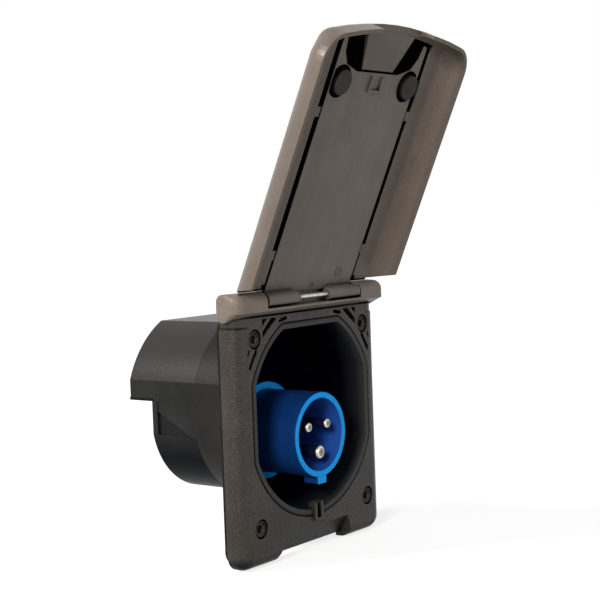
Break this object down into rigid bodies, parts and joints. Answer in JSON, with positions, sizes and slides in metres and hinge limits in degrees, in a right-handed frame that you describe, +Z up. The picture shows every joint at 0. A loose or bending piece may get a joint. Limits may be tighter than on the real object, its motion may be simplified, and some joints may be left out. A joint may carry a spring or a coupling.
{
  "type": "flush mount appliance inlet",
  "caption": "Flush wall power inlet: a framed bowl with a blue keyed shroud around its contact pins, a hinged lid standing open above it and a closed wiring chamber behind.",
  "frame": {"origin": "centre of the four wall screws, on the plane of the wall", "axes": "+Y into the wall, so the front looks along -Y; +Z up towards the hinge; +X to the right seen from the front"},
  "size_m": [0.1266, 0.1473, 0.2641],
  "materials": {
    "lid_plastic": "fine matt grain, taupe",
    "frame_plastic": "fine matt grain, dark brown grey",
    "black_plastic": "matt black",
    "seal_rubber": "matt black rubber",
    "blue_plastic": "smooth moulded blue",
    "navy_insulator": "smooth moulded navy",
    "contact_metal": "nickel plated, satin",
    "plain_steel": "zinc plated",
    "magnet": "dark matt ferrite"
  },
  "bodies": {
    "housing": {"front_frame": "frame_plastic", "wall_gasket": "seal_rubber", "keeper_plate_left": "plain_steel", "keeper_plate_right": "plain_steel", "bowl": "black_plastic", "bowl_screws": "plain_steel", "rear_cover": "black_plastic", "cover_screws": "plain_steel", "cable_gland": "seal_rubber", "inlet_shroud": "blue_plastic", "inlet_gasket": "seal_rubber", "retaining_ring": "black_plastic", "contact_carrier": "navy_insulator", "phase_pin": "contact_metal", "neutral_pin": "contact_metal", "earth_pin": "contact_metal", "terminal_screws": "plain_steel", "hinge_bracket": "lid_plastic", "bracket_screws": "plain_steel", "hinge_pin": "plain_steel"},
    "lid": {"lid_liner": "lid_plastic", "lid_shell": "lid_plastic", "lid_magnet_left": "magnet", "lid_magnet_right": "magnet"}
  },
  "joints": [
    {"name": "lid_hinge", "type": "hinge", "parent": "housing", "child": "lid", "pos_m": [0, -0.0145, 0.0655], "axis": [1, 0, 0], "range_deg": [0, 156]}
  ]
}
